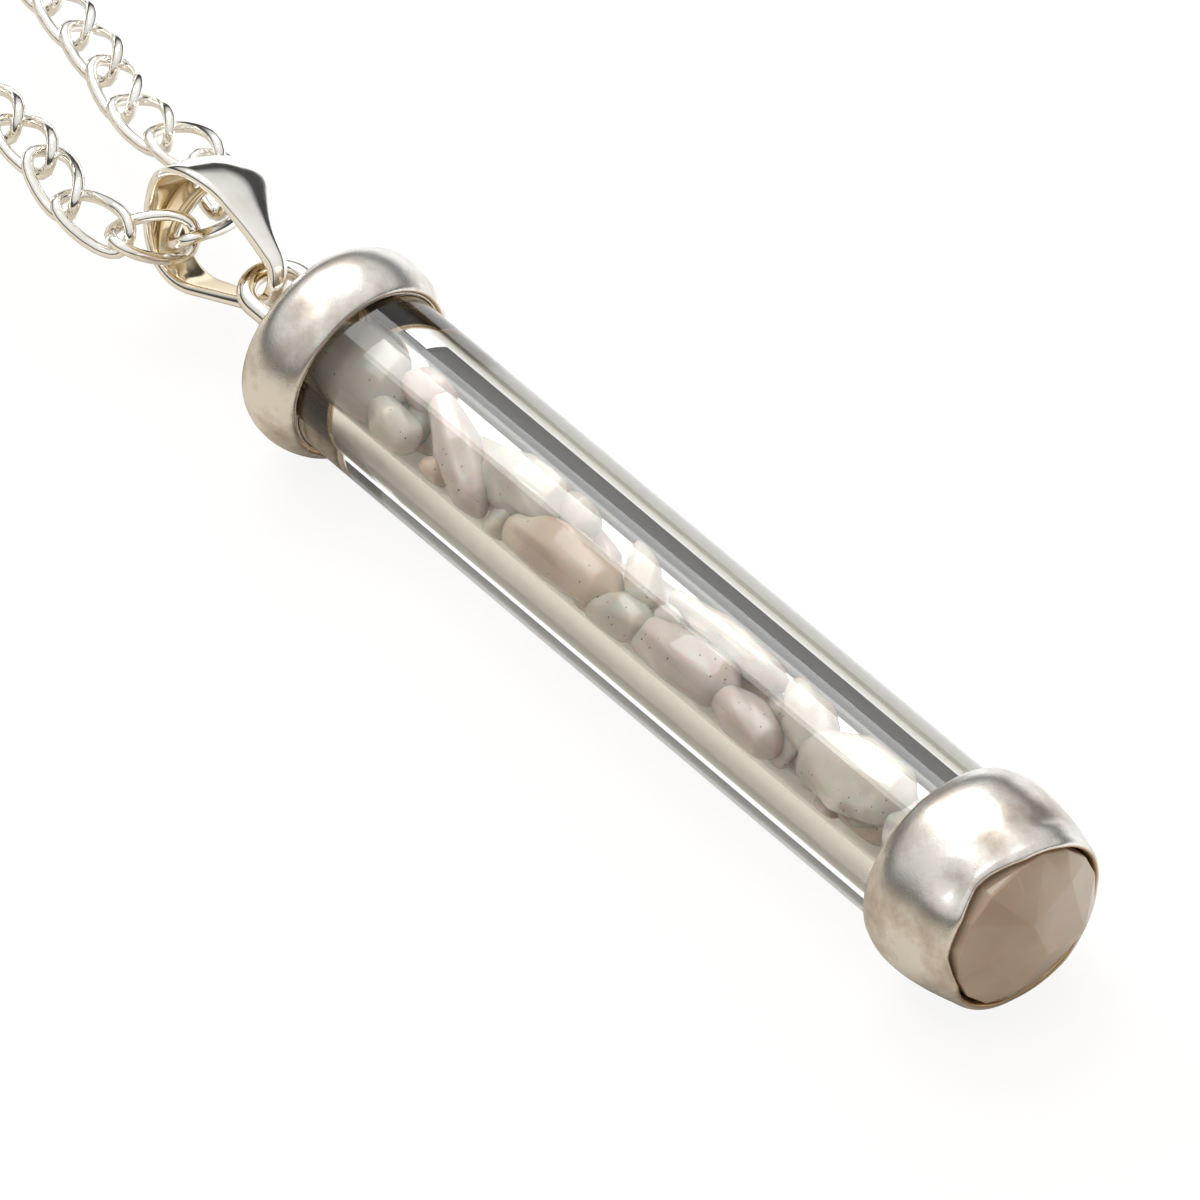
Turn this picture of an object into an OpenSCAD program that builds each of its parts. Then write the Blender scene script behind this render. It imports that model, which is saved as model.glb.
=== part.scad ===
// Bottle pendant: a glass tube of stone chips between two silver caps, with a set stone,
// a hanging ring, a bail and a curb chain. It lies on its side, the set stone towards -Y.

/* [Glass tube] */
// Outer diameter of the tube
tube_d = 8; // [7:0.1:9]
// Bore of the tube, where the chips lie
bore_d = 4.2; // [3.8:0.1:4.6]
// Length of glass that shows between the caps
tube_shown = 38; // [37.5:0.1:38.5]

/* [Caps] */
// Largest diameter of both caps, on which the pendant rests
cap_d = 10; // [9.8:0.1:10.4]
// Length of the top cap
top_cap_l = 3.6; // [3.5:0.1:4]
// Length of the stone cap
stone_cap_l = 5.3; // [5.2:0.1:5.6]
// Depth of the tube's end inside each cap
tube_seat = 2.6; // [2.4:0.1:2.7]

/* [Hanging ring and bail] */
// Wire of the hanging ring
ring_wire = 0.9; // [0.8:0.05:1]
// Width of the hanging ring, outside
ring_w = 3.74; // [3.6:0.02:3.9]
// Length of the straight sides of the hanging ring
ring_straight = 1.25; // [1:0.05:1.4]
// Outer diameter of the round end of the bail
bail_d = 6.14; // [6:0.02:6.2]
// Wall of the bail
bail_t = 0.6; // [0.5:0.02:0.65]
// Lean of the bail about the axis of the pendant, in degrees
bail_lean = 25; // [23:1:27]

/* [Chain] */
// Wire of the links
link_wire = 0.55; // [0.5:0.01:0.56]
// Distance from one link to the next
link_pitch = 2.85; // [2.84:0.01:2.86]
// Links in each half of the chain, beside the one in the bail
half_links = 68; // [66:1:68]
// Fall of the chain from link to link, between the bail and the floor
link_fall = 0.3; // [0.28:0.01:0.34]
// Turn of the whole chain loop from the axis of the pendant, in degrees
loop_turn = 11; // [9:1:12]

/* [Hidden] */
$fn = 64;

// Fits
glass_gap = 0.05;                 // around the glass, in both caps
loose_gap = 0.1;                  // between pieces that hang in each other
axis_h = cap_d / 2;               // height of the pendant's axis above the floor
tube_r = tube_d / 2;
seat_r = tube_r + glass_gap;

// Places along the pendant's axis: 0 at the top cap's rim, growing towards the set stone
tube_start = glass_gap - tube_seat;
tube_end = tube_shown + tube_seat - glass_gap;
lip_at = tube_shown + stone_cap_l;
partition_t = 0.7;                // wall between the glass and the set stone
bezel_floor = tube_shown + tube_seat + partition_t;

// Turn from the upright to the direction square to the axis that the photograph looks along
view_roll = 32;

// The hanging ring is a link with two straight sides, let into the cap's end
ring_r = (ring_w - ring_wire) / 2;
ring_sunk = 0.35;
ring_x = 0.25;                    // it stands a little off the axis
ring_root = -top_cap_l + ring_sunk - ring_w / 2;
ring_far = ring_root - ring_straight;

// The bail is a strap round two circles, a large one for the chain and a small one at its tip
bail_r = (bail_d - bail_t) / 2;
tip_hole = 1.1;                   // radius of the hole at the tip, wide enough for the lean
tip_gap = 0.49;                   // at the middle of the ring's wire, less beside it
tip_r = tip_hole + bail_t / 2;
tip_at = ring_far - ring_r + ring_wire / 2 + tip_gap - tip_hole;
bail_tilt = 3.6;                  // its round end stands a little higher than its tip
round_at = -11.3;
leg_angle = asin((bail_r - tip_r) / (tip_at - round_at));
round_steps = 14;
tip_steps = 3;                    // from the tip to each leg
leg_steps = 3;
// Half width of the strap: share of the way round from the tip, half width
strap_widths = [[0, 0.42], [0.09, 0.48], [0.16, 0.85], [0.24, 1.6], [0.32, 2.1], [0.42, 1.9],
                [0.52, 1.25], [0.64, 1.15], [0.76, 1], [0.88, 0.6], [0.94, 0.45], [1, 0.42]];
// Section of the strap: across in half widths, outward in wall thicknesses
strap_section = [[-1, -0.5], [-1, 0.3], [-0.55, 0.5], [0, 0.62], [0.55, 0.5], [1, 0.3], [1, -0.5]];

// A link is a rounded loop, twisted so that its ends stand square to each other
link_a = 1.87;                    // half length of the wire's middle line
link_b = 1.0;                    // half width
link_twist = 45;
link_round = 0.62;                // 1 is an ellipse, less is fuller at the ends
link_sides = 10;
wire_sides = 5;
link_roll = 25;                   // turn of the links beside the bail towards the view
roll_to = 11;                     // the link that lies flat again

// The chain passes the bail, falls to the floor and runs round a plain loop to the clasp
chain_x = 0.85;
chain_at = -12.2;
bail_turn = 25;                   // turn of the link in the bail from straight across
near_turns = [68, 24, -7, 4];     // headings of the next links from the way back, near strand
far_turns = [18, -20, -5, 12];    // and far strand
strand_spread = 2.5;              // heading of the two strands that run back
spread_from = 17;                 // the link where the strands start to part
spread_to = 25;                   // the link where they have parted
turning_links = 27;               // the links that turn the loop back at its far end
near_rise = [-0.3, 0.1, 0.5, 0.7]; // heights of the first joints over the axis, near strand
far_rise = [-0.3, -0.6, -0.85, -1.3]; // and far strand

// The clasp is one plain barrel with an eye at each end
clasp_d = 2.6;
clasp_l = 7;
eye_r = 1;
eye_wire = 0.6;
eye_sunk = 0.25;

// Chips in the bore: along the axis, across the view, towards the view, half length,
// half width, half height, turn across the view, and the seed of the shape
chips = [
    [0.2, -0.2, 0.35, 2.2, 1.6, 0.95, 8, 1],
    [3.7, 1.15, 0.35, 1.1, 0.75, 0.85, 20, 2],
    [3.55, -0.95, 0.55, 1.35, 0.75, 0.75, -8, 3],
    [7.1, -0.15, 0.5, 2.6, 0.8, 0.85, -26, 4],
    [3.2, 0.1, -1.15, 2.4, 1.3, 0.65, 0, 5],
    [8.1, 0.1, -1.2, 2.35, 1.3, 0.6, 5, 6],
    [10.7, 0.62, 0.38, 2.0, 1.22, 0.9, 6, 7],
    [13.7, 1.15, 0.3, 0.9, 0.7, 0.75, -20, 8],
    [14.6, -0.65, 0.5, 2.75, 1.05, 0.9, 4, 9],
    [13.2, 0.1, -1.2, 2.5, 1.3, 0.6, -4, 10],
    [18.2, 0.95, 0.4, 1.25, 0.7, 0.8, -46, 11],
    [18.8, -0.95, 0.5, 1.35, 0.8, 0.85, 12, 12],
    [18.5, 0.1, -1.2, 2.5, 1.3, 0.6, 6, 13],
    [22.7, -0.6, 0.45, 2.35, 1.05, 1.0, 5, 14],
    [23.6, 1.15, 0.3, 3.1, 0.62, 0.8, 1, 15],
    [23.8, 0.1, -1.25, 2.5, 1.25, 0.55, -5, 16],
    [27.0, -0.95, 0.4, 1.7, 0.85, 0.9, -6, 17],
    [29.3, 0.8, 0.35, 1.6, 0.9, 0.9, -24, 18],
    [29.1, -0.1, -1.25, 2.4, 1.3, 0.55, 4, 19],
    [33.1, 0.3, 0.78, 2.5, 1.35, 0.75, 9, 20],
    [33.5, -0.25, -0.95, 1.9, 1.35, 0.75, -8, 21],
    [37.6, 0.1, 0.1, 1.75, 1.5, 1.3, 12, 22]];
chip_sides = 8;
// Rings of a chip from one end to the other: place along it, size of the ring
chip_rings = [[-0.78, 0.6], [-0.1, 1], [0.62, 0.8]];

// The set stone: a cushion outline, a girdle and a table that faces the view
stone_w = 7.7;                    // width from corner to corner of the cushion
stone_flat = 0.07;                // share of it that the four sides lose
table_sides = 8;
stone_sides = 2 * table_sides;
girdle_at = lip_at + 0.35;
table_at = lip_at + 1.35;
table_r = 2.1;
table_tilt = 5;

function chip_name(i) = str("chip_", i + 1 < 10 ? "0" : "", i + 1);
function unit(v) = v / norm(v);
function total(list) = [for (v = list) 1] * list;
function blend(table, x, i = 0) =
    x <= table[i + 1][0] || i == len(table) - 2
    ? table[i][1] + (table[i + 1][1] - table[i][1]) * (x - table[i][0]) / (table[i + 1][0] - table[i][0])
    : blend(table, x, i + 1);
// Triangles of a tube of rings, closed round on itself or ended with two flat faces
function strip(rings, sides, wrap) =
    [for (i = [0 : rings - (wrap ? 1 : 2)], j = [0 : sides - 1])
        let (k = (i + 1) % rings, m = (j + 1) % sides)
        each [[i * sides + j, k * sides + j, k * sides + m], [i * sides + j, k * sides + m, i * sides + m]]];

// Places a part on the pendant's axis, its own z running towards the set stone
module on_axis() {
    translate([0, 0, axis_h]) rotate([90, 0, 0]) children();
}

module glass_tube() {
    color("lightcyan", 0.4) on_axis() translate([0, 0, tube_start]) difference() {
        cylinder(d = tube_d, h = tube_end - tube_start);
        translate([0, 0, -1]) cylinder(d = bore_d, h = tube_end - tube_start + 2);
    }
}

module hanging_ring() {
    translate([ring_x, 0, 0]) rotate([90, 0, 0]) {
        translate([0, ring_root]) rotate_extrude(angle = 180) translate([ring_r, 0]) circle(d = ring_wire);
        translate([0, ring_far]) rotate([0, 0, 180]) rotate_extrude(angle = 180)
            translate([ring_r, 0]) circle(d = ring_wire);
        for (side = [-1, 1]) translate([side * ring_r, ring_far, 0]) rotate([-90, 0, 0])
            cylinder(d = ring_wire, h = ring_straight);
    }
}

module top_cap() {
    r = cap_d / 2;
    color("silver") on_axis() {
        rotate_extrude() polygon([
            [0, -tube_seat], [seat_r, -tube_seat], [seat_r, 0], [r - 0.42, 0], [r - 0.18, -0.6],
            [r - 0.04, -1.2], [r, -1.8], [r - 0.06, -2.4], [r - 0.3, -2.95], [r - 0.75, -3.35],
            [r - 1.4, -top_cap_l], [0, -top_cap_l]]);
        hanging_ring();
    }
}

module stone_cap() {
    r = cap_d / 2;
    bezel_r = stone_w / 2 + loose_gap;
    color("silver") on_axis() rotate_extrude() polygon([
        [0, tube_shown + tube_seat], [seat_r, tube_shown + tube_seat], [seat_r, tube_shown],
        [r - 0.45, tube_shown], [r - 0.15, tube_shown + 0.6], [r, tube_shown + 1.4],
        [r - 0.03, tube_shown + 2.4], [r - 0.16, tube_shown + 3.4], [r - 0.36, tube_shown + 4.4],
        [r - 0.5, lip_at - 0.2], [r - 0.66, lip_at], [bezel_r, lip_at], [bezel_r, bezel_floor],
        [0, bezel_floor]]);
}

// The cushion's radius at an angle
function cushion(angle) = stone_w / 2 * (1 - stone_flat * (1 + cos(4 * angle)) / 2);
function stone_ring(at) =
    [for (i = [0 : stone_sides - 1]) let (a = 360 * i / stone_sides) [cushion(a) * cos(a), cushion(a) * sin(a), at]];
function table_ring() =
    [for (i = [0 : table_sides - 1]) let (a = 360 * i / table_sides)
        [table_r * cos(a), table_r * sin(a), table_at + table_r * sin(a) * tan(table_tilt)]];
function stone_points() =
    concat(stone_ring(bezel_floor + loose_gap), stone_ring(girdle_at), table_ring());

module end_stone() {
    n = stone_sides;
    color("rosybrown") on_axis() rotate([0, 0, view_roll]) polyhedron(stone_points(), concat(
        strip(2, n, false),
        [for (i = [0 : table_sides - 1]) let (g = n + 2 * i, t = 2 * n + i, u = 2 * n + (i + 1) % table_sides)
            each [[t, g, n + (2 * i + n - 1) % n], [t, g + 1, g], [t, u, g + 1]]],
        [[for (i = [0 : n - 1]) i], [for (i = [table_sides - 1 : -1 : 0]) 2 * n + i]]));
}

// Stations of the strap: place along the axis, height over it, direction that its face looks
function round_the(at, r, from, to, steps) =
    [for (i = [0 : steps]) let (a = from + (to - from) * i / steps) [at + r * cos(a), r * sin(a), a]];
function strap_stations() =
    let (leg = 90 - leg_angle,
         rise = round_the(tip_at, tip_r, 0, leg, tip_steps),
         back = round_the(round_at, bail_r, leg, 360 - leg, round_steps),
         fall = round_the(tip_at, tip_r, 360 - leg, 360, tip_steps))
    concat(rise,
           [for (i = [1 : leg_steps - 1]) rise[tip_steps] + (back[0] - rise[tip_steps]) * i / leg_steps],
           back,
           [for (i = [1 : leg_steps - 1]) back[round_steps] + (fall[0] - back[round_steps]) * i / leg_steps],
           [for (i = [0 : tip_steps - 1]) fall[i]]);

module bail() {
    stations = strap_stations();
    sides = len(strap_section);
    points = [for (i = [0 : len(stations) - 1], q = strap_section)
        let (s = stations[i], out = q.y * bail_t)
        [q.x * blend(strap_widths, i / len(stations)), s[1] + out * sin(s[2]), s[0] + out * cos(s[2])]];
    color("silver") on_axis() translate([ring_x, 0, tip_at]) rotate([0, 0, -bail_lean])
        rotate([bail_tilt, 0, 0]) translate([0, 0, -tip_at])
            polyhedron(points, strip(len(stations), sides, true));
}

function chip_bump(seed, ring, side) = 1 + 0.13 * sin(137 * seed + 211 * ring + 83 * side * (1 + seed % 3));
// A chip's own points: the rings, then its two ends
function chip_points(c) =
    let (place = function (u, v, h)
             [c[1] + u * sin(c[6]) + v * cos(c[6]), c[2] + h, c[0] + u * cos(c[6]) - v * sin(c[6])])
    concat([for (r = [0 : len(chip_rings) - 1], j = [0 : chip_sides - 1])
                let (a = 360 * j / chip_sides, size = chip_rings[r][1] * chip_bump(c[7], r, j))
                place(c[3] * chip_rings[r][0], c[4] * size * cos(a), c[5] * size * sin(a))],
           [place(-c[3], 0, 0), place(c[3], 0, 0)]);

module chip(c) {
    n = chip_sides;
    rings = len(chip_rings);
    color("mistyrose") on_axis() rotate([0, 0, view_roll]) polyhedron(chip_points(c), concat(
        strip(rings, n, false),
        [for (j = [0 : n - 1]) [rings * n, j, (j + 1) % n]],
        [for (j = [0 : n - 1]) [rings * n + 1, (rings - 1) * n + (j + 1) % n, (rings - 1) * n + j]]));
}

// The middle line of a link's wire, and the wire round it, in the link's own frame
function full(v) = sign(v) * pow(abs(v), link_round);
function link_middle(i) =
    let (a = 360 * (i + 0.5) / link_sides, x = link_a * full(cos(a)), y = link_b * full(sin(a)),
         t = link_twist * x / link_a)
    [x, y * cos(t), y * sin(t)];
function link_points() =
    [for (i = [0 : link_sides - 1])
        let (m = link_middle(i), along = unit(link_middle(i + 1) - link_middle(i - 1)),
             out = unit(m - (m * along) * along), side = cross(along, out))
        for (j = [0 : wire_sides - 1]) let (a = 360 * j / wire_sides)
            m + link_wire / 2 * (cos(a) * out + sin(a) * side)];
one_link = link_points();
link_low = max([for (p = one_link) p.z]);

// Headings of the links, from the way back and outward, and the joints between them
near_links = half_links + 1;      // the near strand starts further forward
clasp_reach = clasp_l / 2 - eye_sunk + 2 * eye_r + eye_wire / 2 - (link_a - link_pitch / 2);
function heading(first, links, k, widest) =
    let (round_from = links - turning_links)
    k <= len(first) ? first[k - 1]
    : k < spread_from ? strand_spread
    : k < spread_to ? strand_spread + (widest - strand_spread) * (k - spread_from + 1) / (spread_to - spread_from)
    : k < round_from ? widest
    : widest - (widest + 90) * (k - round_from + 1) / (turning_links + 1);
function plan(side, first, links, widest) =
    [for (k = 1, p = link_pitch / 2 * [side * cos(bail_turn), side * sin(bail_turn)]; k <= links + 1;
          p = p + link_pitch * [side * sin(heading(first, links, k, widest)), cos(heading(first, links, k, widest))],
          k = k + 1) p];
function near_plan(widest) = plan(-1, near_turns, near_links, widest);
function far_plan(widest) = plan(1, far_turns, half_links, widest);
function end_gap(widest) =
    norm(far_plan(widest)[half_links] - near_plan(widest)[near_links]) - 2 * clasp_reach;
// The widest heading at which both halves of the loop meet the clasp, by halving
function closing(low, high, n) =
    let (middle = (low + high) / 2)
    n == 0 ? middle : end_gap(middle) > 0 ? closing(low, middle, n - 1) : closing(middle, high, n - 1);
widest = closing(5, 60, 30);
function loop_place(across, back) = [
    chain_x + across * cos(loop_turn) + back * sin(loop_turn),
    -chain_at - across * sin(loop_turn) + back * cos(loop_turn)];
function joint_height(rise, links, k) =
    k <= len(rise) ? axis_h + rise[k - 1]
    : max(link_low, axis_h + rise[len(rise) - 1] - link_fall * (k - len(rise)),
          clasp_d / 2 - link_fall * (links + 1 - k));
function joints(plan, rise, links) =
    [for (k = [1 : links + 1]) let (q = loop_place(plan[k - 1].x, plan[k - 1].y))
        [q.x, q.y, joint_height(rise, links, k)]];
near_joints = joints(near_plan(widest), near_rise, near_links);
far_joints = joints(far_plan(widest), far_rise, half_links);

// Points of a link between two joints, turned about its own length
function placed_link(from, to, roll) =
    let (middle = (from + to) / 2, x = unit(to - from), flat = unit(cross([0, 0, 1], x)),
         y = flat * cos(roll) - cross(x, flat) * sin(roll), z = cross(x, y))
    [for (p = one_link) middle + p.x * x + p.y * y + p.z * z];
function link_rolls(links) = [for (k = [1 : links]) link_roll * min(1, max(0, (roll_to - k) / 8))];
function strand(list, rolls) = [for (i = [0 : len(rolls) - 1]) each placed_link(list[i], list[i + 1], rolls[i])];
near_points = strand(concat([far_joints[0]], near_joints), concat([0], link_rolls(near_links)));
far_points = strand(far_joints, link_rolls(half_links));
module links(points) {
    size = link_sides * wire_sides;
    loop = strip(link_sides, wire_sides, true);
    color("silver") polyhedron(points, [for (first = [0 : size : len(points) - 1], f = loop)
        [f[0] + first, f[1] + first, f[2] + first]]);
}

// The barrel's outline: place from its middle, radius
clasp_outline = [[-clasp_l / 2, 0.55], [-clasp_l / 2 + 0.3, 0.95], [-clasp_l / 2 + 0.9, clasp_d / 2],
                 [clasp_l / 2 - 0.9, clasp_d / 2], [clasp_l / 2 - 0.3, 0.95], [clasp_l / 2, 0.55]];
clasp_ends = [near_joints[near_links], far_joints[half_links]];
clasp_place = (clasp_ends[0] + clasp_ends[1]) / 2;
clasp_turn = atan2(clasp_ends[1].y - clasp_ends[0].y, clasp_ends[1].x - clasp_ends[0].x);
module clasp() {
    color("silver") translate([clasp_place.x, clasp_place.y, clasp_d / 2]) rotate([0, 0, clasp_turn]) {
        rotate([0, 90, 0]) rotate_extrude()
            polygon(concat([[0, -clasp_l / 2]], [for (p = clasp_outline) [p[1], p[0]]], [[0, clasp_l / 2]]));
        for (side = [-1, 1]) translate([side * (clasp_l / 2 - eye_sunk + eye_r + eye_wire / 2), 0, 0])
            rotate([side * link_twist, 0, 0]) rotate_extrude() translate([eye_r, 0]) circle(d = eye_wire);
    }
}

// The whole box is centred over the origin
solid_x = [for (p = concat(near_points, far_points)) p.x];
solid_y = concat([for (p = near_points) p.y], [for (p = stone_points()) -p.z],
                 [for (p = clasp_outline) clasp_place.y + abs(p[0] * sin(clasp_turn)) + p[1] * cos(clasp_turn)]);
box_x = (min(solid_x) + max(solid_x)) / 2;
box_y = (min(solid_y) + max(solid_y)) / 2;
module placed() {
    translate([-box_x, -box_y, 0]) children();
}

placed() glass_tube();
placed() top_cap();
placed() stone_cap();
placed() end_stone();
placed() bail();
for (i = [0 : len(chips) - 1]) placed() chip(chips[i]);
placed() links(near_points);  // chain_near
placed() links(far_points);  // chain_far
placed() clasp();
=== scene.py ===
# %% [markdown]
# A bottle pendant on its chain.
# The pendant is a thick glass tube of tumbled stone chips, closed by two hand-raised silver caps.
# One cap carries a hanging ring, the other a set stone, and a bail hangs the pendant on a chain.
# The construction model is loaded first and never moved: each piece here is built in its place.

# %% Load the pendant's construction model
import math
import bmesh
import bpy
import numpy as np
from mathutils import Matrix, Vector, noise


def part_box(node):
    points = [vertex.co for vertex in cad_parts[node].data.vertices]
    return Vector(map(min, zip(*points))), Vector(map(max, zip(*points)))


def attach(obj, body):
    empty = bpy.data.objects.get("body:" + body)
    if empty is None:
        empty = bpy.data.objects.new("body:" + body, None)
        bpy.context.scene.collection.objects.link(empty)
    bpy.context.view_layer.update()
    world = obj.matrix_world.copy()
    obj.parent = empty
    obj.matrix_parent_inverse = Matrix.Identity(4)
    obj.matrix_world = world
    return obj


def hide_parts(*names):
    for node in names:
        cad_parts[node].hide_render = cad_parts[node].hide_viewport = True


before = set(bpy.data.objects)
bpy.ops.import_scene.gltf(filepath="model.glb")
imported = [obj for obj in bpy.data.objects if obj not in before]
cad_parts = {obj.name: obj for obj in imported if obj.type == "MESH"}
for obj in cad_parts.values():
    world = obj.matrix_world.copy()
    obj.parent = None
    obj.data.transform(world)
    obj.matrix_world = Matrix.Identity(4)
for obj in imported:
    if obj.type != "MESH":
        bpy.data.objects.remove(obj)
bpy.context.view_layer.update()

# %% [markdown]
# Everything on the pendant is turned about one axis, so places are given on it: across the view,
# towards the view, and along the axis from the top cap's rim to the set stone, in millimetres.
# The alternative, one world position after another, would hide which pieces belong together.

# %% Places on the pendant's axis
MM = 0.001
VIEW_ROLL = math.radians(32)
GLASS_SEAT = 2.55
glass_low, glass_high = (Vector(corner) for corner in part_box("glass_tube"))
axis_x = (glass_low.x + glass_high.x) / 2
axis_z = (glass_low.z + glass_high.z) / 2
rim_y = glass_high.y - GLASS_SEAT * MM


def on_pendant(x, up, w):
    """World places, in metres, of points beside, over and along the axis, in millimetres."""
    return np.stack([axis_x + np.asarray(x) * MM, rim_y - np.asarray(w) * MM,
                     axis_z + np.asarray(up) * MM], axis=-1)


def facing_view(across, towards, w):
    """The same, with the first two measured square to the view instead of upright."""
    across, towards = np.asarray(across), np.asarray(towards)
    return on_pendant(across * math.cos(VIEW_ROLL) - towards * math.sin(VIEW_ROLL),
                      across * math.sin(VIEW_ROLL) + towards * math.cos(VIEW_ROLL), w)


print("axis at x", round(axis_x / MM, 2), "mm, height", round(axis_z / MM, 2), "mm")

# %% [markdown]
# The camera looks down from the photograph's angle with a very long lens, as such small things
# are photographed from well back. A short lens close by would swell the set stone.

# %% Camera
CAMERA_AZIMUTH, CAMERA_ELEVATION = math.radians(-40.5), math.radians(46)
CAMERA_DISTANCE, CAMERA_LENS, SENSOR_WIDTH = 0.87, 605, 36
NEAREST_SEEN, FARTHEST_SEEN = 0.01, 20
AIM_W, AIM_SHIFT = 16.6, (-0.68, -0.808)
back = Vector((math.sin(CAMERA_AZIMUTH) * math.cos(CAMERA_ELEVATION),
               -math.cos(CAMERA_AZIMUTH) * math.cos(CAMERA_ELEVATION), math.sin(CAMERA_ELEVATION)))
right = Vector((0, 0, 1)).cross(back).normalized()
aim = Vector(on_pendant(0, 0, AIM_W)) + MM * (AIM_SHIFT[0] * right + AIM_SHIFT[1] * back.cross(right))
camera = bpy.data.objects.new("camera", bpy.data.cameras.new("camera"))
bpy.context.scene.collection.objects.link(camera)
bpy.context.scene.camera = camera
camera.data.lens, camera.data.sensor_width = CAMERA_LENS, SENSOR_WIDTH
camera.data.clip_start, camera.data.clip_end = NEAREST_SEEN, FARTHEST_SEEN
camera.location = aim + CAMERA_DISTANCE * back
camera.rotation_euler = back.to_track_quat("Z", "Y").to_euler()
bpy.context.scene.view_settings.view_transform = "Standard"
print("camera at", [round(v, 3) for v in camera.location])

# %% [markdown]
# A finish or a sky in Blender is a small net of nodes, joined output to input. The net could be
# drawn by hand in the editor. In a script, short helpers keep each net readable: one makes a
# node, one makes a colour ramp, and one joins sockets. A fourth puts an object in the scene.

# %% Helpers for node trees
def node(tree, kind, x, y, **values):
    """A new node at x, y: plain names set its properties, names with an 'in_' set its sockets."""
    made = tree.nodes.new(kind)
    made.location = (x, y)
    for name, value in values.items():
        if name.startswith("in_"):
            made.inputs[name[3:].replace("_", " ")].default_value = value
        else:
            setattr(made, name, value)
    return made


def ramp(tree, x, y, *stops):
    """A colour ramp through (place, colour) stops."""
    made = node(tree, "ShaderNodeValToRGB", x, y)
    while len(made.color_ramp.elements) < len(stops):
        made.color_ramp.elements.new(0.5)
    for element, (place, colour) in zip(made.color_ramp.elements, stops):
        element.position = place
        element.color = (*colour, 1)
    return made


def join(tree, *wires):
    """Joins sockets: each wire is (node, output, node, input)."""
    for giver, output, taker, into in wires:
        tree.links.new(giver.outputs[output], taker.inputs[into])


def in_scene(name, data):
    """A new object of the scene that shows this data."""
    made = bpy.data.objects.new(name, data)
    bpy.context.scene.collection.objects.link(made)
    return made


print("helpers: node, ramp, join, in_scene")

# %% [markdown]
# Polished metal and glass show little of their own: they show the room. Here the room is a pale
# sky that is dark near the horizon, which draws the dark lines in the wires. One flat sky would
# leave them blank. The camera itself sees plain white, as behind a thing in a catalogue.

# %% Sky
WHITE, HORIZON_DARK = (1, 1, 1, 1), (0.045, 0.045, 0.047)
world = bpy.data.worlds.new("studio")
bpy.context.scene.world = world
world.use_nodes = True
sky = world.node_tree
sky.nodes.clear()
direction = node(sky, "ShaderNodeTexCoord", -900, 0)
height = node(sky, "ShaderNodeSeparateXYZ", -700, 0)
span = node(sky, "ShaderNodeMapRange", -600, 150, in_From_Min=-1.0, in_From_Max=1.0)
# From straight below, at 0, over the horizon, at 0.5, to straight above
studio = ramp(sky, -500, 0, (0.0, (0.5, 0.48, 0.44)), (0.47, (0.3, 0.29, 0.27)), (0.5, HORIZON_DARK),
              (0.6, (0.07, 0.07, 0.072)), (0.7, (0.72, 0.72, 0.71)), (1.0, (1.0, 1.0, 1.0)))
paths = node(sky, "ShaderNodeLightPath", -500, 350)
seen = node(sky, "ShaderNodeBackground", -200, 150, in_Color=WHITE, in_Strength=1.0)
lit = node(sky, "ShaderNodeBackground", -200, 0, in_Strength=1.0)
both = node(sky, "ShaderNodeMixShader", 0, 0)
sky_out = node(sky, "ShaderNodeOutputWorld", 200, 0)
join(sky, (direction, "Generated", height, 0), (height, "Z", span, "Value"), (span, "Result", studio, "Fac"),
     (studio, "Color", lit, "Color"), (paths, "Is Camera Ray", both, 0), (lit, 0, both, 1),
     (seen, 0, both, 2), (both, 0, sky_out, "Surface"))
print("sky:", len(studio.color_ramp.elements), "tones from below to above")

# %% [markdown]
# A big soft lamp above and behind gives the caps their broad highlights, and a small one gives
# the wires and the chips their glints. A single hard lamp would blacken the far sides.

# %% Lamps
LAMPS_AIM_W = 20


def lamp(name, towards, distance, width, depth, power):
    """A soft rectangular lamp in a direction from the pendant's middle, facing it."""
    data = bpy.data.lights.new(name, "AREA")
    data.shape, data.size, data.size_y, data.energy = "RECTANGLE", width, depth, power
    made = in_scene(name, data)
    towards = Vector(towards).normalized()
    made.location = Vector(on_pendant(0, 0, LAMPS_AIM_W)) + distance * towards
    made.rotation_euler = towards.to_track_quat("Z", "Y").to_euler()
    print(name, power, "W at", [round(v, 2) for v in made.location])


lamp("soft_lamp_above", (0.2, 0.5, 0.84), 0.5, 0.42, 0.30, 1.7)
lamp("small_lamp", (-0.35, 0.1, 0.93), 0.6, 0.05, 0.05, 0.2)

# %% [markdown]
# The floor lies just under the pendant. Under the pendant and towards one side it is painted a darker,
# warm shade, and towards the other side it is paler; the glass bends both into its edges. The camera
# sees it mostly as a white glow, which keeps only a faint shadow. A white sheet alone would turn grey
# in the shade.

# %% Floor
FLOOR_SIZE, FLOOR_DROP = 6, 0.02 * MM
# The first tone is painted shade, darker and warm, under the pendant and to one side; the second is the pale
# open floor.
FLOOR_PAINTED_SHADE, FLOOR_PALE = (0.60, 0.55, 0.47), (0.9, 0.91, 0.92)
PAINTED_SHADE_UNTIL, PALE_FROM = axis_x + 3 * MM, axis_x + 10 * MM
FLOOR_GLOW, FLOOR_GLOW_SHARE = 1.1, 0.8
bpy.ops.mesh.primitive_plane_add(size=FLOOR_SIZE, location=(0, 0, -FLOOR_DROP))
floor = bpy.context.object
floor.name = "floor"
floor_look = bpy.data.materials.new("pale_floor")
floor_look.use_nodes = True
tree = floor_look.node_tree
tree.nodes.clear()
floor_place = node(tree, "ShaderNodeTexCoord", -800, 0)
floor_x = node(tree, "ShaderNodeSeparateXYZ", -600, 0)
# Across x the floor fades from its painted shade to pale.
painted_shade_span = node(tree, "ShaderNodeMapRange", -400, 0, in_From_Min=PAINTED_SHADE_UNTIL, in_From_Max=PALE_FROM)
floor_painted_shade = ramp(tree, -200, 0, (0.0, FLOOR_PAINTED_SHADE), (1.0, FLOOR_PALE))
matte = node(tree, "ShaderNodeBsdfDiffuse", 0, 0)
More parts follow.
